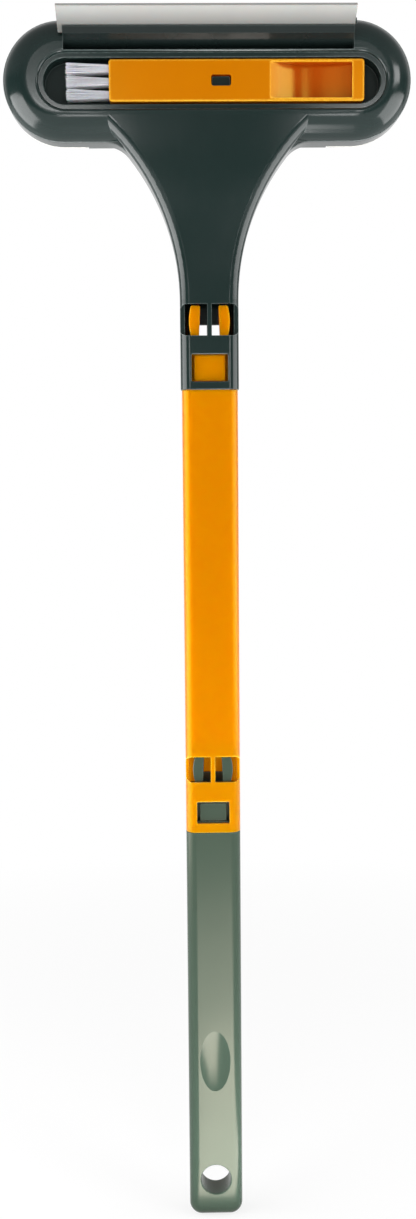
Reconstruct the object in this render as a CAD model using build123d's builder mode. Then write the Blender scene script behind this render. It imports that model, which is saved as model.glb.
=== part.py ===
import os
from math import cos, radians, sin, sqrt

from build123d import *

os.makedirs("parts", exist_ok=True)

# Pole section shared by the handle and the middle tube
pole_w = 35.0
pole_d = 17.5
pole_corner = 6.5
tube_wall = 3.4
socket_wall = 2.2
pole_bore_w = pole_w - 2 * tube_wall
pole_bore_d = pole_d - 2 * tube_wall
pole_bore_corner = 2.0
socket_w = pole_w - 2 * socket_wall
socket_d = pole_d - 2 * socket_wall
socket_corner = 3.0
mouth_round = 0.5

# Places along the pole, measured up from the hanging hole
handle_end_z = -26.0
handle_bore_floor_z = 20.0
lower_mouth_z = 236.0
upper_mouth_z = 518.0
socket_depth = 58.0

# Handle end, hanging hole and thumb dimple
handle_end_corner = 8.0
hang_r = 10.0
hang_lip = 0.8
dimple_z = 82.0
dimple_half_w = 10.0
dimple_half_h = 20.5
dimple_depth = 2.2
dimple_r = (dimple_half_w**2 + dimple_depth**2) / (2 * dimple_depth)
dimple_long_r = dimple_r * dimple_half_h / dimple_half_w
dimple_y = -pole_d / 2 + dimple_depth - dimple_r

# Fits
slide_gap = 0.3
bond_gap = 0.05
running_gap = 0.06
soft_gap = 0.3

# Snap plug that joins two pole sections
tail_w = pole_bore_w - 2 * bond_gap
tail_d = pole_bore_d - 2 * bond_gap
tail_corner = pole_bore_corner - bond_gap
tail_len = 24.0
spigot_w = socket_w - 2 * slide_gap
spigot_d = socket_d - 2 * slide_gap
spigot_corner = socket_corner - slide_gap
knuckle_x = 9.2
knuckle_up = 29.5
knuckle_r = 2.4
knuckle_cover = 1.2
spigot_h = knuckle_up + knuckle_cover

# Prongs on the plug
prong_front_set = 0.25
prong_depth = 9.0
prong_root_half = 1.3
prong_low_in = 6.4
prong_low_out = 11.6
prong_top_in = 5.6
prong_top_out = 12.6
prong_tip_out = 11.4
prong_low_up = 33.2
prong_bulge_up = 44.0
prong_tip_gap = 0.6
prong_round = 1.0
prong_edge = 0.5
prong_front_y = -spigot_d / 2 + prong_front_set

# Windows in the sockets
window_wrap = 0.6
window_depth = 5.0
prong_window_up = 33.0
prong_window_corner = 5.0
rib_w = 2.8
peep_h = 7.9
peep_out = 6.6
lower_prong_window_h = 16.7
upper_prong_window_h = 19.2
button_window_corner = 0.8
window_edge = 0.5
lower_button_window_w = 20.8
lower_button_window_h = 14.2
lower_button_window_up = 6.0
upper_button_window_w = 22.6
upper_button_window_h = 16.7
upper_button_window_up = 5.0

# Tongue that stands up behind the prongs of the lower plug
tongue_w = 22.0
tongue_show = 4.0
tongue_h = tongue_show + prong_window_up - spigot_h
tongue_t = 1.8

# Push buttons
lower_button_w = 17.2
lower_button_h = 11.6
upper_button_w = 19.3
upper_button_h = 16.0
button_lip = 1.5
button_flange = 1.6
button_flange_reach = 1.2
button_travel = 2.2
button_side_gap = 1.7
button_crown = 0.5
button_corner = 1.2
pocket_play = 0.3

# Head with its collar and neck
collar_w = 36.4
collar_d = 18.4
collar_corner = 6.0
neck_r = 142.0
neck_start_z = 573.0
neck_blend = 18.0
neck_overlap = 4.0
neck_flank_y = -3.0
neck_slope_z = 588.0
neck_crown_z = 677.0
neck_reach_z = 690.0
neck_crown_drop = 0.15
head_w = 248.5
head_h = 71.4
head_z = 703.8
head_front_y = -15.0
head_edge = 15.5
head_wall = 2.6
head_floor_front_y = -3.0
head_step_front_y = -8.6
head_step = 4.0
neck_floor_front_y = -0.4
neck_step_front_y = -5.6
neck_step = 5.5
socket_roof = 5.0
head_bottom_z = head_z - head_h / 2
head_top_z = head_z + head_h / 2
head_rear_y = collar_d / 2

# Brush recess in the head
recess_x = 2.8
recess_z = 701.5
recess_len = 203.4
recess_h = 26.8
recess_lip = 3.0
recess_lip_drop = 2.2
recess_floor_y = -1.6
recess_wall = 2.2
recess_lip_round = 1.8
recess_edge_round = 0.6
peg_w = 10.8
peg_h = 5.6
peg_front_y = -10.5
peg_corner = 0.8

# Squeegee blade and its holder
blade_lean = 60.0
blade_root_y = -6.0
blade_root_z = 723.6
blade_len = 30.6
blade_root_t = 3.0
blade_tip_t = 1.8
blade_bead_r = 2.6
blade_w = 176.7
blade_x = -0.85
blade_step = 11.5
holder_w = 174.0
holder_x = 0.7
holder_jaw = 2.5
holder_lower_reach = 17.2
holder_lower_chamfer = 3.4
holder_upper_reach = 13.0
holder_rear_y = 0.8
holder_foot_front_y = -9.6
holder_foot_z = 719.2
holder_top_z = 736.0
holder_gap = 0.2
holder_rail = 2.2

# Back plate, screws, hook strips and pad
plate_t = 2.4
plate_gap = 0.2
boss_r = 3.8
screw_r = 1.4
screw_len = 9.0
screw_head_r = 2.8
screw_head_t = 1.6
cross_len = 3.2
cross_w = 0.7
cross_depth = 0.9
screw_side_x = 113.2
screw_low_x = 40.0
screw_low_z = 677.5
screw_neck_z = 601.0
hook_w = 92.0
hook_h = 40.0
hook_t = 1.0
hook_x = 56.0
sponge_t = 5.5
cloth_t = 4.0
pad_inset = 0.2
pad_edge = 2.0
clip_x = 65.2
clip_w = 17.5
clip_h = 3.4
clip_reach = 5.0
clip_inset = 0.4

# Gap brush
brush_left_x = -59.5
brush_len = 154.0
brush_z = 701.7
brush_h = 24.6
brush_front_y = -13.4
brush_rear_y = recess_floor_y - 0.4
brush_corner = 1.8
brush_edge = 0.8
slot_x = 8.1
slot_gap = 0.6
scoop_left_x = 37.6
scoop_len = 49.6
scoop_rim = 1.8
scoop_depth = 6.4
scoop_entry = 14.0
scoop_exit_depth = 4.8
tuft_pitch_z = 7.6
tuft_bore_h = 5.4
tuft_bore_d = 8.0
tuft_bore_len = 9.0
tuft_y = (brush_front_y + brush_rear_y) / 2
tuft_root_t = 2.5
strand_len = 26.5
strand_r = 0.17
strand_rows = 11
strand_columns = 10
strand_row_pitch = 0.62
strand_column_pitch = 0.46
strand_fan = 1.62
staple_t = 1.2

# Outline of the head with its flared neck, drawn on the rear face
rear_plane = Plane.XZ.offset(-head_rear_y)
neck_half = collar_w / 2
neck_rise = head_bottom_z + neck_overlap - neck_start_z
neck_out = neck_half + neck_r - sqrt(neck_r**2 - neck_rise**2)
neck_mid_out = neck_half + neck_r - sqrt(neck_r**2 - (neck_rise / 2) ** 2)
neck_mid_z = neck_start_z + neck_rise / 2
neck_top_z = neck_start_z + neck_rise
with BuildSketch(rear_plane) as head_outline:
    with BuildLine():
        Line((-neck_half, neck_start_z), (neck_half, neck_start_z))
        ThreePointArc((neck_half, neck_start_z), (neck_mid_out, neck_mid_z), (neck_out, neck_top_z))
        Line((neck_out, neck_top_z), (-neck_out, neck_top_z))
        ThreePointArc((-neck_out, neck_top_z), (-neck_mid_out, neck_mid_z), (-neck_half, neck_start_z))
    make_face()
    with Locations((0, head_z)):
        SlotOverall(head_w, head_h)
    bottom_corners = [v for v in head_outline.vertices() if abs(v.Y - head_bottom_z) < bond_gap]
    armpits = [v for v in bottom_corners if abs(v.X) < neck_out]
    fillet(armpits, neck_blend)

# Hollow of the head, open at the back
with BuildSketch(rear_plane) as head_hollow:
    add(head_outline.sketch_local)
    offset(amount=-head_wall, mode=Mode.REPLACE)
    with Locations((0, upper_mouth_z + socket_depth + socket_roof)):
        Rectangle(head_w, head_h, align=(Align.CENTER, Align.MAX), mode=Mode.SUBTRACT)
with BuildSketch(rear_plane) as neck_hollow:
    add(head_hollow.sketch_local)
    offset(amount=-neck_step, mode=Mode.REPLACE)

head_screw_places = [
    (-screw_side_x, head_z),
    (screw_side_x, head_z),
    (-screw_low_x, screw_low_z),
    (screw_low_x, screw_low_z),
]
neck_screw_place = (0, screw_neck_z)
screw_places = [*head_screw_places, neck_screw_place]
plate_front_y = head_rear_y - plate_t

# Front of the neck: flanks with the collar's rounded edge, and a face that swells up to the rim
flank_rise = neck_reach_z - neck_start_z
flank_mid_z = neck_start_z + flank_rise / 2
flank_out = neck_half + neck_r - sqrt(neck_r**2 - flank_rise**2)
flank_mid = neck_half + neck_r - sqrt(neck_r**2 - (flank_rise / 2) ** 2)
neck_front_y = -collar_d / 2
neck_crown_y = head_front_y + neck_crown_drop
swell_mid = ((neck_front_y + neck_crown_y) / 2, (neck_slope_z + neck_crown_z) / 2)
with BuildPart() as neck_front:
    with BuildSketch(Plane.XZ.offset(-neck_flank_y)):
        with BuildLine():
            Line((-neck_half, neck_start_z), (neck_half, neck_start_z))
            ThreePointArc(
                (neck_half, neck_start_z),
                (flank_mid, flank_mid_z),
                (flank_out, neck_reach_z),
            )
            Line((flank_out, neck_reach_z), (-flank_out, neck_reach_z))
            ThreePointArc(
                (-flank_out, neck_reach_z),
                (-flank_mid, flank_mid_z),
                (-neck_half, neck_start_z),
            )
        make_face()
    extrude(amount=neck_flank_y - head_front_y)
    with BuildSketch(Plane.YZ):
        with BuildLine():
            Line((neck_front_y, neck_start_z), (neck_front_y, neck_slope_z))
            TangentArc((neck_front_y, neck_slope_z), swell_mid, tangent=(0, 1))
            TangentArc((neck_crown_y, neck_crown_z), swell_mid, tangent=(0, -1))
            Polyline(
                (neck_crown_y, neck_crown_z),
                (neck_crown_y, head_top_z),
                (2 * head_front_y, head_top_z),
                (2 * head_front_y, neck_start_z),
                (neck_front_y, neck_start_z),
            )
        make_face()
    extrude(amount=head_w, both=True, mode=Mode.SUBTRACT)
    facing = [f for f in neck_front.faces() if f.normal_at(f.center()).Y < 0]
    flank_edges = [e for f in facing for e in f.edges() if abs(e.center().X) > neck_half / 2]
    fillet(flank_edges, collar_corner)

# Head shell: collar, neck, brush recess and the seat of the blade holder
lip_len = recess_len + 2 * recess_lip
lip_h = recess_h + 2 * recess_lip
tray_len = recess_len + 2 * recess_wall
tray_h = recess_h + 2 * recess_wall
seat_half = holder_w / 2 + holder_gap
seat_floor_z = holder_foot_z - holder_gap
seat_rear_y = holder_rear_y + holder_gap
collar_front = Plane.XZ.offset(collar_d / 2)
with BuildPart() as head_shell:
    # Rim rounded over to the front, flat body with the outline's blended corners, neck, collar
    with BuildSketch(rear_plane):
        with Locations((0, head_z)):
            SlotOverall(head_w, head_h)
    extrude(amount=head_rear_y - head_front_y)
    fillet(head_shell.faces().sort_by(Axis.Y)[0].edges(), head_edge)
    extrude(head_outline.sketch, amount=head_rear_y - neck_flank_y)
    add(neck_front.part)
    with BuildSketch(Plane.XY.offset(upper_mouth_z)):
        RectangleRounded(collar_w, collar_d, collar_corner)
    extrude(amount=neck_start_z + socket_roof - upper_mouth_z)
    fillet(head_shell.faces().sort_by(Axis.Z)[0].edges(), mouth_round)
    # Hollow behind the front wall, deeper in the head than in the neck
    extrude(head_hollow.sketch, amount=head_rear_y - neck_floor_front_y, mode=Mode.SUBTRACT)
    extrude(neck_hollow.sketch, amount=head_rear_y - neck_step_front_y, mode=Mode.SUBTRACT)
    with BuildSketch(rear_plane):
        with Locations((0, head_z)):
            SlotOverall(head_w - 2 * head_wall, head_h - 2 * head_wall)
    extrude(amount=head_rear_y - head_floor_front_y, mode=Mode.SUBTRACT)
    with BuildSketch(rear_plane):
        with Locations((0, head_z)):
            SlotOverall(head_w - 2 * head_wall - 2 * head_step, head_h - 2 * head_wall - 2 * head_step)
    extrude(amount=head_rear_y - head_step_front_y, mode=Mode.SUBTRACT)
    # Tray of the recess, block of the holder seat, screw bosses
    with BuildSketch(Plane.XZ.offset(-recess_floor_y - recess_wall)):
        with Locations((recess_x, recess_z)):
            SlotOverall(tray_len, tray_h)
    extrude(amount=-head_step_front_y + recess_floor_y + recess_wall + head_wall)
    with BuildSketch(Plane.XZ.offset(-seat_rear_y - holder_rail)):
        with Locations((holder_x, seat_floor_z - holder_rail)):
            Rectangle(
                2 * (seat_half + holder_rail),
                head_top_z - head_wall / 2 - seat_floor_z + holder_rail,
                align=(Align.CENTER, Align.MIN),
            )
    extrude(amount=seat_rear_y + holder_rail - head_step_front_y + head_wall)
    with BuildSketch(Plane.XZ.offset(-plate_front_y)):
        with Locations(*head_screw_places):
            Circle(boss_r)
    extrude(amount=plate_front_y - head_step_front_y + head_wall / 2)
    with BuildSketch(Plane.XZ.offset(-plate_front_y)):
        with Locations(neck_screw_place):
            Circle(boss_r)
    extrude(amount=plate_front_y - neck_step_front_y + head_wall / 2)
    with BuildSketch(Plane.XZ.offset(-plate_front_y)):
        with Locations(*screw_places):
            Circle(screw_r)
    extrude(amount=screw_len, mode=Mode.SUBTRACT)
    # Recess with its stepped lip and the peg that locates the brush
    with BuildSketch(Plane.XZ.offset(-head_front_y)):
        with Locations((recess_x, recess_z)):
            SlotOverall(lip_len, lip_h)
    extrude(amount=-recess_lip_drop, mode=Mode.SUBTRACT)
    fillet(head_shell.edges(Select.LAST).group_by(Axis.Y)[0], recess_lip_round)
    with BuildSketch(Plane.XZ.offset(-head_front_y)):
        with Locations((recess_x, recess_z)):
            SlotOverall(recess_len, recess_h)
    extrude(amount=head_front_y - recess_floor_y, mode=Mode.SUBTRACT)
    fillet(head_shell.edges(Select.LAST).group_by(Axis.Y)[0], recess_edge_round)
    with BuildSketch(Plane.XZ.offset(-recess_floor_y)):
        with Locations((slot_x, brush_z)):
            RectangleRounded(peg_w, peg_h, peg_corner)
    extrude(amount=recess_floor_y - peg_front_y)
    # Seat of the blade holder in the top of the rim
    with BuildSketch(Plane.XZ.offset(-seat_rear_y)):
        with Locations((holder_x, seat_floor_z)):
            Rectangle(2 * seat_half, head_h, align=(Align.CENTER, Align.MIN))
    extrude(amount=seat_rear_y - head_front_y, mode=Mode.SUBTRACT)
    # Socket for the middle plug with its windows
    with BuildSketch(Plane.XY.offset(upper_mouth_z)):
        RectangleRounded(socket_w, socket_d, socket_corner)
    extrude(amount=socket_depth, mode=Mode.SUBTRACT)
    with BuildSketch(collar_front):
        with Locations((0, upper_mouth_z + prong_window_up + upper_prong_window_h / 2)):
            RectangleRounded(collar_w + 2 * window_wrap, upper_prong_window_h, prong_window_corner)
            Rectangle(rib_w, upper_prong_window_h, mode=Mode.SUBTRACT)
    extrude(amount=-window_depth, mode=Mode.SUBTRACT)
    with BuildSketch(Plane.XZ):
        with Locations((0, upper_mouth_z + prong_window_up)):
            Rectangle(2 * peep_out, peep_h, align=(Align.CENTER, Align.MIN))
            Rectangle(rib_w, peep_h, align=(Align.CENTER, Align.MIN), mode=Mode.SUBTRACT)
    extrude(amount=-collar_d / 2, mode=Mode.SUBTRACT)
    with BuildSketch(collar_front):
        with Locations((0, upper_mouth_z + upper_button_window_up + upper_button_window_h / 2)):
            RectangleRounded(upper_button_window_w, upper_button_window_h, button_window_corner)
    extrude(amount=-collar_d / 2, mode=Mode.SUBTRACT)
    fillet(head_shell.edges(Select.LAST).group_by(Axis.Y)[0], window_edge)

head_shell.part.label = "head_shell"
export_step(head_shell.part, "parts/head_shell.step")

# Back plate that closes the head, with the two tabs that flank the pad
with BuildSketch(rear_plane) as plate_outline:
    add(head_hollow.sketch_local)
    offset(amount=-plate_gap, mode=Mode.REPLACE)
    with Locations(*screw_places):
        Circle(screw_r + slide_gap, mode=Mode.SUBTRACT)
clip_low_z = head_bottom_z + clip_inset
with BuildPart() as head_back_plate:
    extrude(plate_outline.sketch, amount=plate_t)
    with BuildSketch(rear_plane):
        with Locations(*screw_places):
            Circle(screw_head_r + slide_gap)
    extrude(amount=screw_head_t, mode=Mode.SUBTRACT)
    with BuildSketch(rear_plane):
        with Locations((-clip_x, clip_low_z), (clip_x, clip_low_z)):
            Rectangle(clip_w, clip_h + head_wall, align=(Align.CENTER, Align.MIN))
    extrude(amount=-clip_reach)

head_back_plate.part.label = "head_back_plate"
export_step(head_back_plate.part, "parts/head_back_plate.step")

# Countersunk screws of the back plate
with BuildPart() as back_plate_screws:
    with BuildSketch(Plane.XZ.offset(-head_rear_y + screw_head_t)):
        with Locations(*screw_places):
            Circle(screw_head_r)
    extrude(amount=-screw_head_t)
    with BuildSketch(Plane.XZ.offset(-head_rear_y + screw_head_t)):
        with Locations(*screw_places):
            Circle(screw_r)
    extrude(amount=screw_len - screw_head_t)
    with BuildSketch(rear_plane):
        with Locations(*screw_places):
            Rectangle(cross_len, cross_w)
            Rectangle(cross_w, cross_len)
    extrude(amount=cross_depth, mode=Mode.SUBTRACT)

back_plate_screws.part.label = "back_plate_screws"
export_step(back_plate_screws.part, "parts/back_plate_screws.step")

# Hook tape strips on the back plate
with BuildPart() as hook_strips:
    with BuildSketch(rear_plane):
        with Locations((-hook_x, head_z), (hook_x, head_z)):
            Rectangle(hook_w, hook_h)
    extrude(amount=-hook_t)

hook_strips.part.label = "hook_strips"
export_step(hook_strips.part, "parts/hook_strips.step")

# Pad: sponge core with notches for the tabs, and its deep-pile cloth
pad_plane = Plane.XZ.offset(-head_rear_y - hook_t)
cloth_plane = Plane.XZ.offset(-head_rear_y - hook_t - sponge_t)
with BuildPart() as pad_sponge:
    with BuildSketch(pad_plane):
        with Locations((0, head_z)):
            SlotOverall(head_w - 2 * pad_inset, head_h - 2 * pad_inset)
        with Locations((-clip_x, head_bottom_z), (clip_x, head_bottom_z)):
            Rectangle(
                clip_w + 2 * soft_gap,
                clip_h + head_wall + 2 * soft_gap + clip_inset,
                align=(Align.CENTER, Align.MIN),
                mode=Mode.SUBTRACT,
            )
    extrude(amount=-sponge_t)

pad_sponge.part.label = "pad_sponge"
export_step(pad_sponge.part, "parts/pad_sponge.step")

with BuildPart() as pad_cloth:
    with BuildSketch(cloth_plane):
        with Locations((0, head_z)):
            SlotOverall(head_w - 2 * pad_inset, head_h - 2 * pad_inset)
    extrude(amount=-cloth_t)
    fillet(pad_cloth.faces().sort_by(Axis.Y)[-1].edges(), pad_edge)

pad_cloth.part.label = "pad_cloth"
export_step(pad_cloth.part, "parts/pad_cloth.step")

# Blade and holder, drawn in the plane across the blade
lean_y = -sin(radians(blade_lean))
lean_z = cos(radians(blade_lean))


def across(along, out):
    return (
        blade_root_y + along * lean_y - out * lean_z,
        blade_root_z + along * lean_z + out * lean_y,
    )


slot_half = blade_root_t / 2 + soft_gap
jaw_half = slot_half + holder_jaw
holder_plane = Plane.YZ.offset(holder_x)
with BuildPart() as blade_holder:
    with BuildSketch(holder_plane):
        with BuildLine():
            Polyline(
                (holder_rear_y, holder_foot_z),
                (holder_rear_y, holder_top_z),
                (holder_foot_front_y, holder_top_z),
                across(holder_upper_reach, -jaw_half),
                across(holder_upper_reach, -slot_half),
                across(0, -slot_half),
                across(0, slot_half),
                across(holder_lower_reach, slot_half),
                across(holder_lower_reach - holder_lower_chamfer, jaw_half),
                across(0, jaw_half),
                (holder_foot_front_y, holder_foot_z),
                close=True,
            )
        make_face()
        with Locations((blade_root_y, blade_root_z)):
            Circle(blade_bead_r + soft_gap, mode=Mode.SUBTRACT)
    extrude(amount=holder_w / 2, both=True)

blade_holder.part.label = "blade_holder"
export_step(blade_holder.part, "parts/blade_holder.step")

# Rubber blade with a bead that keys into the holder
root_half = blade_root_t / 2
tip_half = blade_tip_t / 2
step_half = root_half + (tip_half - root_half) * blade_step / blade_len
with BuildPart() as squeegee_blade:
    with BuildSketch(holder_plane):
        with BuildLine():
            Polyline(
                across(0, -root_half),
                across(blade_len, -tip_half),
                across(blade_len, tip_half),
                across(0, root_half),
                close=True,
            )
        make_face()
        with Locations((blade_root_y, blade_root_z)):
            Circle(blade_bead_r)
    extrude(amount=holder_w / 2, both=True)
    with BuildSketch(Plane.YZ.offset(blade_x)):
        with BuildLine():
            Polyline(
                across(blade_step, -step_half),
                across(blade_len, -tip_half),
                across(blade_len, tip_half),
                across(blade_step, step_half),
                close=True,
            )
        make_face()
    extrude(amount=blade_w / 2, both=True)

squeegee_blade.part.label = "squeegee_blade"
export_step(squeegee_blade.part, "parts/squeegee_blade.step")

# Gap brush handle with its locating slot, thumb scoop and tuft bores
scoop_right_x = scoop_left_x + scoop_len
scoop_z_half = brush_h / 2 - scoop_rim
scoop_floor_y = brush_front_y + scoop_depth
with BuildPart() as brush_handle:
    with BuildSketch(Plane.XZ.offset(-brush_rear_y)):
        with Locations((brush_left_x + brush_len / 2, brush_z)):
            RectangleRounded(brush_len, brush_h, brush_corner)
    extrude(amount=brush_rear_y - brush_front_y)
    fillet(brush_handle.faces().sort_by(Axis.Y)[0].edges(), brush_edge)
    with BuildSketch(Plane.XY.offset(brush_z)):
        with BuildLine():
            Spline(
                (scoop_left_x, brush_front_y),
                (scoop_left_x + scoop_entry, scoop_floor_y),
                (scoop_right_x, brush_front_y + scoop_exit_depth),
                tangents=((scoop_entry, scoop_depth), (scoop_len, -scoop_depth)),
            )
            Polyline(
                (scoop_right_x, brush_front_y + scoop_exit_depth),
                (scoop_right_x, head_front_y),
                (scoop_left_x, head_front_y),
                (scoop_left_x, brush_front_y),
            )
        make_face()
    extrude(amount=scoop_z_half, both=True, mode=Mode.SUBTRACT)
    with BuildSketch(Plane.XZ.offset(-brush_rear_y)):
        with Locations((slot_x, brush_z)):
            RectangleRounded(peg_w + 2 * slot_gap, peg_h + 2 * slot_gap, peg_corner + slot_gap)
    extrude(amount=brush_rear_y - brush_front_y, mode=Mode.SUBTRACT)
    with BuildSketch(Plane.YZ.offset(brush_left_x)):
        with Locations(*[(tuft_y, brush_z + k * tuft_pitch_z) for k in (-1, 0, 1)]):
            Rectangle(tuft_bore_d, tuft_bore_h)
    extrude(amount=tuft_bore_len, mode=Mode.SUBTRACT)

brush_handle.part.label = "brush_handle"
export_step(brush_handle.part, "parts/brush_handle.step")

# Staples at the bottom of the tuft bores
staple_d = tuft_bore_d - 2 * bond_gap
staple_h = tuft_bore_h - 2 * bond_gap
with BuildPart() as tuft_staples:
    with BuildSketch(Plane.YZ.offset(brush_left_x + tuft_bore_len)):
        with Locations(*[(tuft_y, brush_z + k * tuft_pitch_z) for k in (-1, 0, 1)]):
            Rectangle(staple_d, staple_h)
    extrude(amount=-staple_t)

tuft_staples.part.label = "tuft_staples"
export_step(tuft_staples.part, "parts/tuft_staples.step")

# Nylon tufts, each strand a three-sided fibre fanning out from its root block
tuft_root_x = brush_left_x + tuft_bore_len - staple_t
tuft_names = ["tuft_lower", "tuft_middle", "tuft_upper"]
strand_run = strand_len + tuft_bore_len - staple_t - tuft_root_t / 2
for k, tuft_name in enumerate(tuft_names):
    tuft_z = brush_z + (k - 1) * tuft_pitch_z
    strands = []
    for row in range(strand_rows):
        for column in range(strand_columns):
            dy = (row - (strand_rows - 1) / 2) * strand_row_pitch
            dz = (column - (strand_columns - 1) / 2) * strand_column_pitch
            root = Vector(tuft_root_x - tuft_root_t / 2, tuft_y + dy, tuft_z + dz)
            run = Vector(-strand_run, dy * (strand_fan - 1), dz * (strand_fan - 1))
            with BuildSketch(Plane(root, (0, 1, 0), (-1, 0, 0))) as section:
                RegularPolygon(strand_r, 3)
            strands.append(extrude(section.sketch, amount=run.length, dir=run, mode=Mode.PRIVATE))
    with BuildPart() as tuft:
        with BuildSketch(Plane.YZ.offset(tuft_root_x)):
            with Locations((tuft_y, tuft_z)):
                Rectangle(staple_d, staple_h)
        extrude(amount=-tuft_root_t)
        add(strands)
    tuft.part.label = tuft_name
    export_step(tuft.part, "parts/" + tuft_name + ".step")


# Snap plug: tail in the tube, spigot in the socket, button pocket and knuckle seats
def make_plug(mouth_z, window_up, window_h, button_w, button_h):
    button_z = mouth_z + window_up + window_h / 2
    pocket_w = button_w + 2 * button_side_gap
    pocket_h = button_h + 2 * pocket_play
    lip_y = -spigot_d / 2 + button_lip
    chamber_deep = button_flange + button_travel + 2 * pocket_play
    with BuildPart() as plug:
        with BuildSketch(Plane.XY.offset(mouth_z - tail_len)):
            RectangleRounded(tail_w, tail_d, tail_corner)
        extrude(amount=tail_len)
        with BuildSketch(Plane.XY.offset(mouth_z)):
            RectangleRounded(spigot_w, spigot_d, spigot_corner)
        extrude(amount=spigot_h)
        with BuildSketch(Plane.XZ.offset(spigot_d / 2)):
            with Locations((0, button_z)):
                Rectangle(pocket_w, pocket_h)
        extrude(amount=-button_lip, mode=Mode.SUBTRACT)
        with BuildSketch(Plane.XZ.offset(-lip_y)):
            with Locations((0, button_z)):
                Rectangle(pocket_w, pocket_h + 2 * button_flange_reach)
        extrude(amount=-chamber_deep, mode=Mode.SUBTRACT)
        with BuildSketch(Plane.XZ):
            with Locations((-knuckle_x, mouth_z + knuckle_up), (knuckle_x, mouth_z + knuckle_up)):
                Circle(knuckle_r + running_gap)
        extrude(amount=spigot_d, both=True, mode=Mode.SUBTRACT)
    return plug


# Push button: head in the window, flange behind the lip of the pocket
def make_button(mouth_z, window_up, window_h, button_w, button_h):
    button_z = mouth_z + window_up + window_h / 2
    flange_y = -spigot_d / 2 + button_lip + pocket_play
    with BuildPart() as button:
        with BuildSketch(Plane.XZ.offset(-flange_y)):
            with Locations((0, button_z)):
                RectangleRounded(button_w, button_h, button_corner)
        extrude(amount=flange_y + spigot_d / 2)
        fillet(button.faces().sort_by(Axis.Y)[0].edges(), button_crown)
        with BuildSketch(Plane.XZ.offset(-flange_y)):
            with Locations((0, button_z)):
                Rectangle(button_w, button_h + 2 * button_flange_reach)
        extrude(amount=-button_flange)
    return button


# Prong: round knuckle at the root, arm that swells outward towards the tip
def make_prong(mouth_z, window_h, side):
    tip_z = mouth_z + prong_window_up + window_h - prong_tip_gap
    with BuildPart() as prong:
        with BuildSketch(Plane.XZ.offset(-prong_front_y)):
            with BuildLine():
                Polyline(
                    (side * (knuckle_x - prong_root_half), mouth_z + knuckle_up),
                    (side * (knuckle_x + prong_root_half), mouth_z + knuckle_up),
                    (side * (knuckle_x + prong_root_half), mouth_z + spigot_h),
                    (side * prong_low_out, mouth_z + prong_low_up),
                )
                Spline(
                    (side * prong_low_out, mouth_z + prong_low_up),
                    (side * prong_top_out, mouth_z + prong_bulge_up),
                    (side * prong_tip_out, tip_z),
                )
                Polyline(
                    (side * prong_tip_out, tip_z),
                    (side * prong_top_in, tip_z),
                    (side * prong_low_in, mouth_z + prong_low_up),
                    (side * (knuckle_x - prong_root_half), mouth_z + spigot_h),
                    (side * (knuckle_x - prong_root_half), mouth_z + knuckle_up),
                )
            make_face()
            with Locations((side * knuckle_x, mouth_z + knuckle_up)):
                Circle(knuckle_r)
        extrude(amount=-prong_depth)
        tip_edges = prong.edges().filter_by(Axis.Y).group_by(Axis.Z)[-1]
        fillet(tip_edges, prong_round)
        fillet(prong.faces().sort_by(Axis.Y)[0].edges(), prong_edge)
    return prong


# Handle: closed tube with the hanging hole and the thumb dimple
handle_len = lower_mouth_z - handle_end_z
with BuildPart() as handle_tube:
    with BuildSketch(Plane.XZ.offset(-pole_d / 2)):
        with Locations((0, handle_end_z)):
            RectangleRounded(pole_w, 2 * handle_len, handle_end_corner, align=(Align.CENTER, Align.MIN))
    extrude(amount=pole_d)
    fillet(handle_tube.faces().filter_by(Axis.Y).edges(), pole_corner)
    with BuildSketch(Plane.XY.offset(lower_mouth_z)):
        Rectangle(2 * pole_w, 2 * pole_d)
    extrude(amount=2 * handle_len, mode=Mode.SUBTRACT)
    fillet(handle_tube.faces().sort_by(Axis.Z)[-1].edges(), mouth_round)
    with BuildSketch(Plane.XY.offset(handle_bore_floor_z)):
        RectangleRounded(pole_bore_w, pole_bore_d, pole_bore_corner)
    extrude(amount=lower_mouth_z - handle_bore_floor_z, mode=Mode.SUBTRACT)
    with BuildSketch(Plane.XZ):
        Circle(hang_r)
    extrude(amount=pole_d, both=True, mode=Mode.SUBTRACT)
    round_edges = handle_tube.edges().filter_by(GeomType.CIRCLE)
    fillet([e for e in round_edges if abs(e.radius - hang_r) < bond_gap], hang_lip)
    with BuildSketch(Plane.XZ.offset(-dimple_y)):
        with Locations((0, dimple_z)):
            Ellipse(dimple_r, dimple_long_r)
            Rectangle(dimple_r, 2 * dimple_long_r, align=(Align.MAX, Align.CENTER), mode=Mode.SUBTRACT)
    revolve(axis=Axis((0, dimple_y, dimple_z), (0, 0, 1)), mode=Mode.SUBTRACT)

handle_tube.part.label = "handle_tube"
export_step(handle_tube.part, "parts/handle_tube.step")

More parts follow.
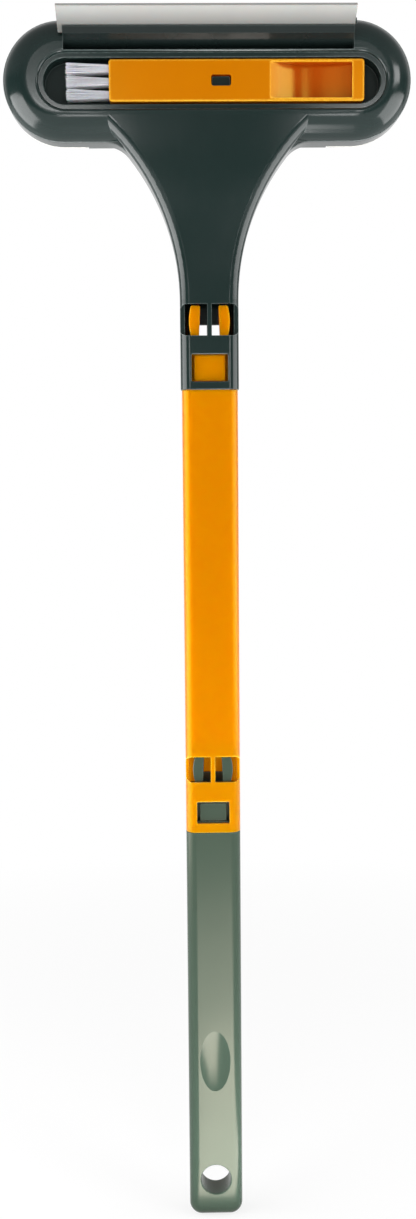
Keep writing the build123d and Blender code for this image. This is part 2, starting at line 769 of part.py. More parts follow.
# Middle tube: socket with windows below, bore for the plug tail above
pole_front = Plane.XZ.offset(pole_d / 2)
with BuildPart() as middle_tube:
    with BuildSketch(Plane.XY.offset(lower_mouth_z)):
        RectangleRounded(pole_w, pole_d, pole_corner)
    extrude(amount=upper_mouth_z - lower_mouth_z)
    fillet(middle_tube.faces().filter_by(Axis.Z).edges(), mouth_round)
    with BuildSketch(Plane.XY.offset(lower_mouth_z)):
        RectangleRounded(pole_bore_w, pole_bore_d, pole_bore_corner)
    extrude(amount=upper_mouth_z - lower_mouth_z, mode=Mode.SUBTRACT)
    with BuildSketch(Plane.XY.offset(lower_mouth_z)):
        RectangleRounded(socket_w, socket_d, socket_corner)
    extrude(amount=socket_depth, mode=Mode.SUBTRACT)
    with BuildSketch(pole_front):
        with Locations((0, lower_mouth_z + prong_window_up + lower_prong_window_h / 2)):
            RectangleRounded(pole_w + 2 * window_wrap, lower_prong_window_h, prong_window_corner)
            Rectangle(rib_w, lower_prong_window_h, mode=Mode.SUBTRACT)
    extrude(amount=-window_depth, mode=Mode.SUBTRACT)
    with BuildSketch(pole_front):
        with Locations((0, lower_mouth_z + lower_button_window_up + lower_button_window_h / 2)):
            RectangleRounded(lower_button_window_w, lower_button_window_h, button_window_corner)
    extrude(amount=-pole_d / 2, mode=Mode.SUBTRACT)
    fillet(middle_tube.edges(Select.LAST).group_by(Axis.Y)[0], window_edge)

middle_tube.part.label = "middle_tube"
export_step(middle_tube.part, "parts/middle_tube.step")

# Lower joint, on top of the handle
lower_button_place = (lower_mouth_z, lower_button_window_up, lower_button_window_h)
lower_plug = make_plug(*lower_button_place, lower_button_w, lower_button_h)
with BuildPart() as handle_plug:
    add(lower_plug.part)
    with BuildSketch(Plane.XZ.offset(tongue_t - spigot_d / 2)):
        with Locations((0, lower_mouth_z + spigot_h - tongue_t)):
            Rectangle(tongue_w, tongue_h + tongue_t, align=(Align.CENTER, Align.MIN))
    extrude(amount=-tongue_t)
handle_plug.part.label = "handle_plug"
export_step(handle_plug.part, "parts/handle_plug.step")

handle_button = make_button(*lower_button_place, lower_button_w, lower_button_h)
handle_button.part.label = "handle_button"
export_step(handle_button.part, "parts/handle_button.step")

handle_prong_left = make_prong(lower_mouth_z, lower_prong_window_h, -1)
handle_prong_left.part.label = "handle_prong_left"
export_step(handle_prong_left.part, "parts/handle_prong_left.step")

handle_prong_right = make_prong(lower_mouth_z, lower_prong_window_h, 1)
handle_prong_right.part.label = "handle_prong_right"
export_step(handle_prong_right.part, "parts/handle_prong_right.step")

# Upper joint, on top of the middle tube
upper_button_place = (upper_mouth_z, upper_button_window_up, upper_button_window_h)
middle_plug = make_plug(*upper_button_place, upper_button_w, upper_button_h)
middle_plug.part.label = "middle_plug"
export_step(middle_plug.part, "parts/middle_plug.step")

middle_button = make_button(*upper_button_place, upper_button_w, upper_button_h)
middle_button.part.label = "middle_button"
export_step(middle_button.part, "parts/middle_button.step")

middle_prong_left = make_prong(upper_mouth_z, upper_prong_window_h, -1)
middle_prong_left.part.label = "middle_prong_left"
export_step(middle_prong_left.part, "parts/middle_prong_left.step")

middle_prong_right = make_prong(upper_mouth_z, upper_prong_window_h, 1)
middle_prong_right.part.label = "middle_prong_right"
export_step(middle_prong_right.part, "parts/middle_prong_right.step")
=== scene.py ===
import math
import random

import bmesh
import bpy
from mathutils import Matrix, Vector, noise


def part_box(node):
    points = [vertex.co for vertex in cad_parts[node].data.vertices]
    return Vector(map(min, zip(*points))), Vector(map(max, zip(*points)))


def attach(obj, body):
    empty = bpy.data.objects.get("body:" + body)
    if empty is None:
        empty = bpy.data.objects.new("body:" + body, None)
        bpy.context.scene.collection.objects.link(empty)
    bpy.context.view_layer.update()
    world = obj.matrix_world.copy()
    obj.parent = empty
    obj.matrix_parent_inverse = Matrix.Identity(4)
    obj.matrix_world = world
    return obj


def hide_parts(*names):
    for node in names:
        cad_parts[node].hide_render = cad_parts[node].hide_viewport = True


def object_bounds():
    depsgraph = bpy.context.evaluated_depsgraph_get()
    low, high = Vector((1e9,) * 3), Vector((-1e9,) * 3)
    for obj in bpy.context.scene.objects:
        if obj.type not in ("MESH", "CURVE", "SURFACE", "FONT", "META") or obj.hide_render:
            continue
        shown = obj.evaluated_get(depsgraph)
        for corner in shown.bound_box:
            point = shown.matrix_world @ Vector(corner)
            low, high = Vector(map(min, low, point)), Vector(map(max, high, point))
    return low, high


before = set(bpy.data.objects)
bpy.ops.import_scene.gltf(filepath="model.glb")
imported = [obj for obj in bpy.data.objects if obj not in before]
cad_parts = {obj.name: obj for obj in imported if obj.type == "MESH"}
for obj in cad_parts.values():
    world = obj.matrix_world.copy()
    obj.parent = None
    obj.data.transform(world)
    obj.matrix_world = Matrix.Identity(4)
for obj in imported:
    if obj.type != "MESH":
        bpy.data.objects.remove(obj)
cad_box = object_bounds()


# Camera.
# The photograph was taken from about 0.8 m in front of the tool, a little left of
# the pole and level with the middle tube, looking slightly down.
photo_height_px = 1219
focal_px = 1300
camera_place_m = (-0.0164, -0.8252, 0.4698)
looks_down_deg = 6.227
looks_right_deg = 1.034
leans_deg = 0.467
camera_data = bpy.data.cameras.new("photo_camera")
camera_data.sensor_fit = "VERTICAL"
camera_data.sensor_height = 36.0
camera_data.lens = camera_data.sensor_height * focal_px / photo_height_px
camera_data.clip_start = 0.02
camera = bpy.data.objects.new("photo_camera", camera_data)
camera.location = camera_place_m
camera.rotation_mode = "XYZ"
camera.rotation_euler = (
    math.radians(90 - looks_down_deg),
    math.radians(leans_deg),
    math.radians(-looks_right_deg),
)
bpy.context.scene.collection.objects.link(camera)
bpy.context.scene.camera = camera


# Handle tube.
# Injection-moulded polypropylene in grey-green, closed and rounded at the foot,
# with a hanging hole and a shallow thumb dimple.
def linear(hex_colour):
    channels = []
    for i in (1, 3, 5):
        value = int(hex_colour[i : i + 2], 16) / 255
        channels.append(value / 12.92 if value <= 0.04045 else ((value + 0.055) / 1.055) ** 2.4)
    return (*channels, 1.0)


def node(tree, kind, settings=None, links=None):
    made = tree.nodes.new(kind)
    for key, value in (settings or {}).items():
        if isinstance(key, int) or key in made.inputs:
            made.inputs[key].default_value = value
        else:
            setattr(made, key, value)
    for key, source in (links or {}).items():
        tree.links.new(source, made.inputs[key])
    return made


def new_material(name):
    material = bpy.data.materials.new(name)
    material.use_nodes = True
    material.node_tree.nodes.clear()
    return material, material.node_tree


# Moulded polypropylene: a satin skin copied from the spark-eroded mould, clouded a
# little by the flow of the melt, with fine rub marks along the pole and pale edges, partly
# worn with handling and partly a painted highlight where the rounded edges catch light.
# The 0.2 mm mould grain is drawn at 1.7 mm to show. The colour goes over to the deep one
# with the flow, and to the pale edge one at edges; glow is the share of light that the
# bright colours let into the wall.
def moulded_polypropylene(
    name, colour, deep, wear_and_highlight_colour, roughness, gloss, sheen, wear_and_highlight=0.5, edge_m=0.0009, glow=0.0
):
    flow_m = 0.05
    flow_roughness = 0.03
    grain_m = 0.0017
    grain_depth_m = 0.00008
    rub_width_m = 0.0014
    rub_length_m = 0.05
    rub_roughness = 0.02
    wall_glow_m = 0.014
    material, tree = new_material(name)
    place = node(tree, "ShaderNodeTexCoord").outputs["Object"]
    flow = node(tree, "ShaderNodeTexNoise", {"Scale": 1 / flow_m, "Detail": 3.0}, {"Vector": place})
    grain = node(tree, "ShaderNodeTexNoise", {"Scale": 1 / grain_m, "Detail": 2.0}, {"Vector": place})
    along = node(
        tree,
        "ShaderNodeMapping",
        {"Scale": (1 / rub_width_m, 1 / rub_width_m, 1 / rub_length_m)},
        {"Vector": place},
    )
    rub = node(
        tree,
        "ShaderNodeTexNoise",
        {"Scale": 1.0, "Detail": 1.0},
        {"Vector": along.outputs["Vector"]},
    )
    rubbed = node(
        tree,
        "ShaderNodeMapRange",
        {"From Min": 0.60, "From Max": 0.78, "To Min": 0.0, "To Max": rub_roughness},
        {"Value": rub.outputs["Fac"]},
    )
    clouded = node(
        tree,
        "ShaderNodeMapRange",
        {
            "From Min": 0.3,
            "From Max": 0.7,
            "To Min": roughness - flow_roughness,
            "To Max": roughness + flow_roughness,
        },
        {"Value": flow.outputs["Fac"]},
    )
    rough = node(
        tree,
        "ShaderNodeMath",
        {"operation": "ADD"},
        {0: clouded.outputs["Result"], 1: rubbed.outputs["Result"]},
    )
    tint = node(tree, "ShaderNodeMix", {"data_type": "RGBA"}, {"Factor": flow.outputs["Fac"]})
    tint.inputs["A"].default_value = linear(colour)
    tint.inputs["B"].default_value = linear(deep)
    true_normal = node(tree, "ShaderNodeNewGeometry").outputs["Normal"]
    rounded = node(tree, "ShaderNodeBevel", {"Radius": edge_m, "samples": 4})
    turn = node(
        tree,
        "ShaderNodeVectorMath",
        {"operation": "DOT_PRODUCT"},
        {0: true_normal, 1: rounded.outputs["Normal"]},
    )
    edge = node(
        tree,
        "ShaderNodeMapRange",
        {"From Min": 0.995, "From Max": 0.90, "To Min": 0.0, "To Max": wear_and_highlight},
        {"Value": turn.outputs["Value"]},
    )
    broken = node(
        tree,
        "ShaderNodeMath",
        {"operation": "MULTIPLY"},
        {0: edge.outputs["Result"], 1: grain.outputs["Fac"]},
    )
    # Partly wear and partly painted highlight: the rounded edges go over to the pale edge colour.
    worn_and_lit_edges = node(
        tree,
        "ShaderNodeMix",
        {"data_type": "RGBA"},
        {"Factor": broken.outputs["Value"], "A": tint.outputs["Result"]},
    )
    worn_and_lit_edges.inputs["B"].default_value = linear(wear_and_highlight_colour)
    bump = node(
        tree,
        "ShaderNodeBump",
        {"Strength": 0.10, "Distance": grain_depth_m},
        {"Height": grain.outputs["Fac"]},
    )
    shader = node(
        tree,
        "ShaderNodeBsdfPrincipled",
        {
            "IOR": 1.49,
            "Specular IOR Level": gloss,
            "Specular Tint": linear(sheen),
            "Subsurface Weight": glow,
            "Subsurface Radius": (1.0, 0.7, 0.1),
            "Subsurface Scale": wall_glow_m,
        },
        {
            "Base Color": worn_and_lit_edges.outputs["Result"],
            "Roughness": rough.outputs["Value"],
            "Normal": bump.outputs["Normal"],
        },
    )
    node(tree, "ShaderNodeOutputMaterial", links={"Surface": shader.outputs["BSDF"]})
    return material


def dress(name, material):
    part = bpy.data.objects[name]
    part.data.materials.clear()
    part.data.materials.append(material)


grey_green_polypropylene = moulded_polypropylene(
    "grey_green_polypropylene",
    colour="#33453a",
    deep="#2f4036",
    wear_and_highlight_colour="#8b9c91",
    roughness=0.22,
    gloss=0.40,
    sheen="#fff3dc",
)
dress("handle_tube", grey_green_polypropylene)


# Plug of the handle, its two prongs and its push button.
# Moulded from the handle's own polypropylene; the tail is glued into the tube and
# the prongs and the button spring out through the windows of the next tube.
for name in ("handle_plug", "handle_prong_left", "handle_prong_right", "handle_button"):
    dress(name, grey_green_polypropylene)


# Middle tube.
# Extruded-looking moulding in bright orange polypropylene, the socket for the
# handle's plug below and the glued tail of its own plug above.
# The pale edge colour here is partly wear and partly a painted highlight on the rounded corners.
orange_polypropylene = moulded_polypropylene(
    "orange_polypropylene",
    colour="#d07700",
    deep="#c87000",
    wear_and_highlight_colour="#ffbe52",
    roughness=0.32,
    gloss=0.9,
    sheen="#ffe400",
    wear_and_highlight=0.8,
    glow=0.9,
)
dress("middle_tube", orange_polypropylene)


# Plug of the middle tube, its prongs and its push button.
# The same orange polypropylene, seen through the windows of the head's collar.
for name in ("middle_plug", "middle_prong_left", "middle_prong_right", "middle_button"):
    dress(name, orange_polypropylene)


# Head shell and the plate that closes its back.
# One thick moulding in a very dark blue-green polypropylene; the plate drops into
# the hollow from behind and carries the two tabs that flank the pad.
# The pale edge colour here is partly wear and partly a painted highlight along the rounded edges and
# lips.
dark_green_polypropylene = moulded_polypropylene(
    "dark_green_polypropylene",
    colour="#162624",
    deep="#132220",
    wear_and_highlight_colour="#7b8785",
    roughness=0.16,
    gloss=0.48,
    sheen="#ffffff",
    wear_and_highlight=0.8,
)
# The mould leaves the floor of the brush recess matt, so it stays dark among the gloss.
recess_floor_m = -0.0016
recess_floor_play_m = 0.0004
recess_floor_roughness = 0.7
tree = dark_green_polypropylene.node_tree
place = node(tree, "ShaderNodeTexCoord").outputs["Object"]
depth = node(tree, "ShaderNodeSeparateXYZ", links={"Vector": place})
on_floor = node(
    tree,
    "ShaderNodeMath",
    {"operation": "COMPARE", 1: recess_floor_m, 2: recess_floor_play_m},
    {0: depth.outputs["Y"]},
)
shader = tree.nodes["Principled BSDF"]
skin = shader.inputs["Roughness"].links[0].from_socket
matt = node(tree, "ShaderNodeMath", {"operation": "MAXIMUM"}, {0: skin, 1: on_floor.outputs["Value"]})
matt_floor = node(
    tree,
    "ShaderNodeMath",
    {"operation": "MINIMUM", 1: recess_floor_roughness},
    {0: matt.outputs["Value"]},
)
tree.links.new(matt_floor.outputs["Value"], shader.inputs["Roughness"])
for name in ("head_shell", "head_back_plate"):
    dress(name, dark_green_polypropylene)


# Screws of the back plate.
# Zinc-plated pan-head steel screws, driven into the bosses of the shell; the plating
# is bright, with the faint swirl of the barrel that it was tumbled in.
tumble_mark_m = 0.0006
tumble_depth_m = 0.00005
zinc_plated_steel, tree = new_material("zinc_plated_steel")
place = node(tree, "ShaderNodeTexCoord").outputs["Object"]
tumbled = node(tree, "ShaderNodeTexNoise", {"Scale": 1 / tumble_mark_m, "Detail": 3.0}, {"Vector": place})
rough = node(
    tree,
    "ShaderNodeMapRange",
    {"To Min": 0.22, "To Max": 0.48},
    {"Value": tumbled.outputs["Fac"]},
)
tint = node(tree, "ShaderNodeMix", {"data_type": "RGBA"}, {"Factor": tumbled.outputs["Fac"]})
tint.inputs["A"].default_value = linear("#b9bcbd")
tint.inputs["B"].default_value = linear("#a3a7aa")
bump = node(
    tree,
    "ShaderNodeBump",
    {"Strength": 0.15, "Distance": tumble_depth_m},
    {"Height": tumbled.outputs["Fac"]},
)
shader = node(
    tree,
    "ShaderNodeBsdfPrincipled",
    {"Metallic": 1.0},
    {
        "Base Color": tint.outputs["Result"],
        "Roughness": rough.outputs["Result"],
        "Normal": bump.outputs["Normal"],
    },
)
node(tree, "ShaderNodeOutputMaterial", links={"Surface": shader.outputs["BSDF"]})
dress("back_plate_screws", zinc_plated_steel)


# Blade holder.
# A dark polypropylene profile with two jaws, pushed into its seat in the top of the
# head; a shade blacker than the shell, with a duller shine.
black_green_polypropylene = moulded_polypropylene(
    "black_green_polypropylene",
    colour="#161f1e",
    deep="#121a19",
    wear_and_highlight_colour="#4c5755",
    roughness=0.22,
    gloss=0.3,
    sheen="#ffffff",
)
dress("blade_holder", black_green_polypropylene)


# Squeegee blade.
# A strip of pale thermoplastic rubber, extruded, cut square and gripped by the jaws of
# the holder.
# Extruded rubber: a dull, slightly waxy surface with faint die lines along its length,
# greyer towards the holder, a painted shade where the holder's lip shadows it. The 0.1 mm lines are drawn
# at 0.5 mm.
die_line_m = 0.0005
die_line_length_m = 0.12
die_line_depth_m = 0.00006
bloom_m = 0.02
out_of_shade_down_to_m = 0.0025
shade_from_m = 0.0090
pale_rubber, tree = new_material("pale_rubber")
place = node(tree, "ShaderNodeTexCoord").outputs["Object"]
drawn = node(
    tree,
    "ShaderNodeMapping",
    {"Scale": (1 / die_line_length_m, 1 / die_line_m, 1 / die_line_m)},
    {"Vector": place},
)
die_lines = node(
    tree,
    "ShaderNodeTexNoise",
    {"Scale": 1.0, "Detail": 2.0},
    {"Vector": drawn.outputs["Vector"]},
)
bloom = node(tree, "ShaderNodeTexNoise", {"Scale": 1 / bloom_m, "Detail": 4.0}, {"Vector": place})
tint = node(tree, "ShaderNodeMix", {"data_type": "RGBA"}, {"Factor": bloom.outputs["Fac"]})
tint.inputs["A"].default_value = linear("#a8a9a6")
tint.inputs["B"].default_value = linear("#a0a19e")
blade_top_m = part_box("squeegee_blade")[1][2]
height = node(tree, "ShaderNodeSeparateXYZ", links={"Vector": place})
out_of_shade = node(
    tree,
    "ShaderNodeMapRange",
    {"From Min": blade_top_m - shade_from_m, "From Max": blade_top_m - out_of_shade_down_to_m},
    {"Value": height.outputs["Z"]},
)
# Painted shade: next to the holder the rubber is darkened to a grey.
holder_shade = node(
    tree,
    "ShaderNodeMix",
    {"data_type": "RGBA"},
    {"Factor": out_of_shade.outputs["Result"], "B": tint.outputs["Result"]},
)
holder_shade.inputs["A"].default_value = linear("#6c6d6a")
rough = node(
    tree,
    "ShaderNodeMapRange",
    {"To Min": 0.42, "To Max": 0.62},
    {"Value": bloom.outputs["Fac"]},
)
bump = node(
    tree,
    "ShaderNodeBump",
    {"Strength": 0.15, "Distance": die_line_depth_m},
    {"Height": die_lines.outputs["Fac"]},
)
shader = node(
    tree,
    "ShaderNodeBsdfPrincipled",
    {"IOR": 1.5, "Subsurface Weight": 0.15, "Subsurface Scale": 0.002},
    {
        "Base Color": holder_shade.outputs["Result"],
        "Roughness": rough.outputs["Result"],
        "Normal": bump.outputs["Normal"],
    },
)
node(tree, "ShaderNodeOutputMaterial", links={"Surface": shader.outputs["BSDF"]})
dress("squeegee_blade", pale_rubber)


# Hook tape strips.
# Woven nylon tape with rows of cut hooks, glued to the back plate; matt black with
# the hooks standing as a fine grid, drawn at 1.6 mm to show.
hook_pitch_m = 0.0016
hook_height_m = 0.0006
hook_tape, tree = new_material("hook_tape")
place = node(tree, "ShaderNodeTexCoord").outputs["Object"]
hooks = node(
    tree,
    "ShaderNodeTexVoronoi",
    {"Scale": 1 / hook_pitch_m, "Randomness": 0.25},
    {"Vector": place},
)
# Painted shade: the tape between the hooks is darker than the hook tops.
tint = node(tree, "ShaderNodeMix", {"data_type": "RGBA"}, {"Factor": hooks.outputs["Distance"]})
tint.inputs["A"].default_value = linear("#3c3f40")
tint.inputs["B"].default_value = linear("#17191a")
bump = node(
    tree,
    "ShaderNodeBump",
    {"Strength": 0.8, "Distance": hook_height_m, "invert": True},
    {"Height": hooks.outputs["Distance"]},
)
shader = node(
    tree,
    "ShaderNodeBsdfPrincipled",
    {"IOR": 1.53, "Roughness": 0.6},
    {"Base Color": tint.outputs["Result"], "Normal": bump.outputs["Normal"]},
)
node(tree, "ShaderNodeOutputMaterial", links={"Surface": shader.outputs["BSDF"]})
dress("hook_strips", hook_tape)


# Sponge core of the pad.
# Die-cut polyurethane foam laminated to the cloth, with a notch at each tab; its cut
# edge is soft, slightly uneven and full of open cells.
def copy_of(node_name, piece_name):
    piece = bpy.data.objects[node_name].copy()
    piece.data = bpy.data.objects[node_name].data.copy()
    piece.name = piece_name
    piece.data.name = piece_name
    piece.parent = None
    piece.data.materials.clear()
    for key in list(piece.keys()):
        del piece[key]
    bpy.context.scene.collection.objects.link(piece)
    return piece


def applied(piece):
    graph = bpy.context.evaluated_depsgraph_get()
    finished = bpy.data.meshes.new_from_object(piece.evaluated_get(graph))
    old = piece.data
    piece.modifiers.clear()
    piece.data = finished
    bpy.data.meshes.remove(old)
    finished.name = piece.name


def even_skin(piece, voxel_m, smoothing):
    remesh = piece.modifiers.new("even_skin", "REMESH")
    remesh.mode = "VOXEL"
    remesh.voxel_size = voxel_m
    if smoothing:
        smooth = piece.modifiers.new("soft_edges", "SMOOTH")
        smooth.factor = 0.5
        smooth.iterations = smoothing
    applied(piece)


foam_cell_m = 0.0014
foam_cell_depth_m = 0.0005
foam_voxel_m = 0.0016
foam_smoothing = 2
foam_dent_m = 0.00012
foam_dent_pitch_m = 0.004
foam = copy_of("pad_sponge", "pad_foam")
even_skin(foam, foam_voxel_m, foam_smoothing)
outward = [vertex.normal.copy() for vertex in foam.data.vertices]
for vertex in foam.data.vertices:
    dent = foam_dent_m * noise.noise(vertex.co / foam_dent_pitch_m) - foam_dent_m
    vertex.co += outward[vertex.index] * dent
for face in foam.data.polygons:
    face.use_smooth = True
polyurethane_foam, tree = new_material("polyurethane_foam")
place = node(tree, "ShaderNodeTexCoord").outputs["Object"]
cells = node(tree, "ShaderNodeTexVoronoi", {"Scale": 1 / foam_cell_m}, {"Vector": place})
# Painted shade: the open cells are darker in their hollows and paler at their rims.
tint = node(tree, "ShaderNodeMix", {"data_type": "RGBA"}, {"Factor": cells.outputs["Distance"]})
tint.inputs["A"].default_value = linear("#c9c8c2")
tint.inputs["B"].default_value = linear("#ebeae5")
bump = node(
    tree,
    "ShaderNodeBump",
    {"Strength": 0.6, "Distance": foam_cell_depth_m},
    {"Height": cells.outputs["Distance"]},
)
shader = node(
    tree,
    "ShaderNodeBsdfPrincipled",
    {"IOR": 1.4, "Roughness": 0.9},
    {"Base Color": tint.outputs["Result"], "Normal": bump.outputs["Normal"]},
)
node(tree, "ShaderNodeOutputMaterial", links={"Surface": shader.outputs["BSDF"]})
foam.data.materials.append(polyurethane_foam)
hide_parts("pad_sponge")
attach(foam, "pad")


# Cloth face of the pad.
# Deep-pile microfibre cloth over the sponge, sewn down round the edge, so it crowns
# a little in the middle; the pile stands in small soft clumps, with painted shade
# darkening the valleys between them.
pile_clump_m = 0.0030
pile_depth_m = 0.0009
clump_steepness = 1.6
clump_level = 0.35
pile_fibre_m = 0.0005
pile_fibre_depth_m = 0.0004
pile_voxel_m = 0.0026
pile_margin_m = (0.0014, 0.0003, 0.0014)
swell_pressure = 4.0
swell_frames = 20
swell_cap_m = 0.0012
pile = copy_of("pad_cloth", "pad_pile")
low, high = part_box("pad_cloth")
middle = (Vector(low) + Vector(high)) / 2
pile_scale = Vector([1 - 2 * pile_margin_m[i] / (high[i] - low[i]) for i in range(3)])
for vertex in pile.data.vertices:
    offset = vertex.co - middle
    vertex.co = middle + Vector([offset[i] * pile_scale[i] for i in range(3)])
even_skin(pile, pile_voxel_m, 0)
start = [vertex.co.copy() for vertex in pile.data.vertices]
cloth = pile.modifiers.new("swell", "CLOTH")
cloth.settings.use_pressure = True
cloth.settings.uniform_pressure_force = swell_pressure
cloth.settings.effector_weights.gravity = 0.0
cloth.collision_settings.use_collision = False
for frame_number in range(1, swell_frames + 1):
    bpy.context.scene.frame_set(frame_number)
applied(pile)
bpy.context.scene.frame_set(1)
for vertex, place_before in zip(pile.data.vertices, start):
    moved = vertex.co - place_before
    if moved.length > swell_cap_m:
        moved *= swell_cap_m / moved.length
    vertex.co = place_before + moved
finer = pile.modifiers.new("finer", "SUBSURF")
finer.levels = 1
applied(pile)
clump = pile.data.attributes.new("clump", "FLOAT", "POINT")
for vertex in pile.data.vertices:
    near = noise.voronoi(vertex.co / pile_clump_m)[0][0]
    clump.data[vertex.index].value = max(0.0, 1 - near * near * clump_steepness)
outward = [vertex.normal.copy() for vertex in pile.data.vertices]
for vertex in pile.data.vertices:
    raised = clump.data[vertex.index].value - clump_level
    vertex.co += outward[vertex.index] * pile_depth_m * raised
for face in pile.data.polygons:
    face.use_smooth = True
microfibre_pile, tree = new_material("microfibre_pile")
place = node(tree, "ShaderNodeTexCoord").outputs["Object"]
fibres = node(tree, "ShaderNodeTexNoise", {"Scale": 1 / pile_fibre_m, "Detail": 4.0}, {"Vector": place})
depth = node(tree, "ShaderNodeAttribute", {"attribute_name": "clump"})
# Painted shade: low in the valleys the pile is darker, high on the clumps paler.
tint = node(tree, "ShaderNodeMix", {"data_type": "RGBA"}, {"Factor": depth.outputs["Fac"]})
tint.inputs["A"].default_value = linear("#c4c4c0")
tint.inputs["B"].default_value = linear("#ecebe8")
bump = node(
    tree,
    "ShaderNodeBump",
    {"Strength": 0.5, "Distance": pile_fibre_depth_m},
    {"Height": fibres.outputs["Fac"]},
)
shader = node(
    tree,
    "ShaderNodeBsdfPrincipled",
    {"IOR": 1.45, "Roughness": 0.85, "Sheen Weight": 0.4, "Sheen Roughness": 0.5},
    {"Base Color": tint.outputs["Result"], "Normal": bump.outputs["Normal"]},
)
node(tree, "ShaderNodeOutputMaterial", links={"Surface": shader.outputs["BSDF"]})
pile.data.materials.append(microfibre_pile)
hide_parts("pad_cloth")
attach(pile, "pad")


# Gap brush handle.
# Orange polypropylene again, glossier from a polished mould, with a thumb scoop; the
# slot drops over the peg in the recess.
face_colour = "#be6d00"
face_gloss = 0.5
face_sheen = "#ffd050"
# The wide pale yellow edges are mostly a painted highlight on the rounded edges, with some wear.
glossy_orange_polypropylene = moulded_polypropylene(
    "glossy_orange_polypropylene",
    colour="#c27000",
    deep="#ba6a00",
    wear_and_highlight_colour="#ffc540",
    roughness=0.22,
    gloss=face_gloss,
    sheen=face_sheen,
    wear_and_highlight=2.0,
    edge_m=0.0018,
    glow=0.15,
)
# Thumbs keep the scoop polished; its floor is a painted shade, a deeper orange for the thin
# wall over the dark recess. The rim of the slot has no pale edge of wear and painted highlight, so it
# keeps the colour of the face.
scoop_painted_shade = "#a83c00"
scoop_gloss = 0.8
scoop_sheen = "#ffe858"
scoop_half_height_m = 0.0113
scoop_starts_m = 0.0004
scoop_full_m = 0.0030
slot_middle_m = 0.0081
slot_reach_m = 0.0090
brush_low, brush_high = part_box("brush_handle")
brush_middle_m = (brush_low[2] + brush_high[2]) / 2
tree = glossy_orange_polypropylene.node_tree
place = node(tree, "ShaderNodeTexCoord").outputs["Object"]
spot = node(tree, "ShaderNodeSeparateXYZ", links={"Vector": place})
sunk = node(
    tree,
    "ShaderNodeMapRange",
    {"From Min": brush_low[1] + scoop_starts_m, "From Max": brush_low[1] + scoop_full_m},
    {"Value": spot.outputs["Y"]},
)
between_rims = node(
    tree,
    "ShaderNodeMath",
    {"operation": "COMPARE", 1: brush_middle_m, 2: scoop_half_height_m},
    {0: spot.outputs["Z"]},
)
in_scoop = node(
    tree,
    "ShaderNodeMath",
    {"operation": "MULTIPLY"},
    {0: sunk.outputs["Result"], 1: between_rims.outputs["Value"]},
)
shader = tree.nodes["Principled BSDF"]
moulded_tint = shader.inputs["Base Color"].links[0].from_socket
by_slot = node(
    tree,
    "ShaderNodeMath",
    {"operation": "COMPARE", 1: slot_middle_m, 2: slot_reach_m},
    {0: spot.outputs["X"]},
)
slot_rim = node(
    tree,
    "ShaderNodeMath",
    {"operation": "COMPARE", 1: brush_middle_m, 2: slot_reach_m},
    {0: spot.outputs["Z"]},
)
plain_slot_rim = node(
    tree,
    "ShaderNodeMath",
    {"operation": "MULTIPLY"},
    {0: by_slot.outputs["Value"], 1: slot_rim.outputs["Value"]},
)
face_tint = node(
    tree,
    "ShaderNodeMix",
    {"data_type": "RGBA"},
    {"Factor": plain_slot_rim.outputs["Value"], "A": moulded_tint},
)
face_tint.inputs["B"].default_value = linear(face_colour)
# Painted shade: the scoop floor takes the deeper scoop colour.
tint = node(
    tree,
    "ShaderNodeMix",
    {"data_type": "RGBA"},
    {"Factor": in_scoop.outputs["Value"], "A": face_tint.outputs["Result"]},
)
tint.inputs["B"].default_value = linear(scoop_painted_shade)
tree.links.new(tint.outputs["Result"], shader.inputs["Base Color"])
polish = node(
    tree,
    "ShaderNodeMapRange",
    {"To Min": face_gloss, "To Max": scoop_gloss},
    {"Value": in_scoop.outputs["Value"]},
)
tree.links.new(polish.outputs["Result"], shader.inputs["Specular IOR Level"])
sheen = node(tree, "ShaderNodeMix", {"data_type": "RGBA"}, {"Factor": in_scoop.outputs["Value"]})
sheen.inputs["A"].default_value = linear(face_sheen)
sheen.inputs["B"].default_value = linear(scoop_sheen)
tree.links.new(sheen.outputs["Result"], shader.inputs["Specular Tint"])
dress("brush_handle", glossy_orange_polypropylene)


# Staples of the tufts.
# Short anchors cut from drawn brass wire and pressed to the bottom of the bores; they
# show only end on between the fibres, as a soft yellow shine.
draw_mark_m = 0.0005
drawn_brass, tree = new_material("drawn_brass")
place = node(tree, "ShaderNodeTexCoord").outputs["Object"]
drawing = node(tree, "ShaderNodeTexNoise", {"Scale": 1 / draw_mark_m, "Detail": 2.0}, {"Vector": place})
rough = node(
    tree,
    "ShaderNodeMapRange",
    {"To Min": 0.25, "To Max": 0.45},
    {"Value": drawing.outputs["Fac"]},
)
tint = node(tree, "ShaderNodeMix", {"data_type": "RGBA"}, {"Factor": drawing.outputs["Fac"]})
tint.inputs["A"].default_value = linear("#c9a55a")
tint.inputs["B"].default_value = linear("#b08d46")
shader = node(
    tree,
    "ShaderNodeBsdfPrincipled",
    {"Metallic": 1.0},
    {"Base Color": tint.outputs["Result"], "Roughness": rough.outputs["Result"]},
)
node(tree, "ShaderNodeOutputMaterial", links={"Surface": shader.outputs["BSDF"]})
dress("tuft_staples", drawn_brass)


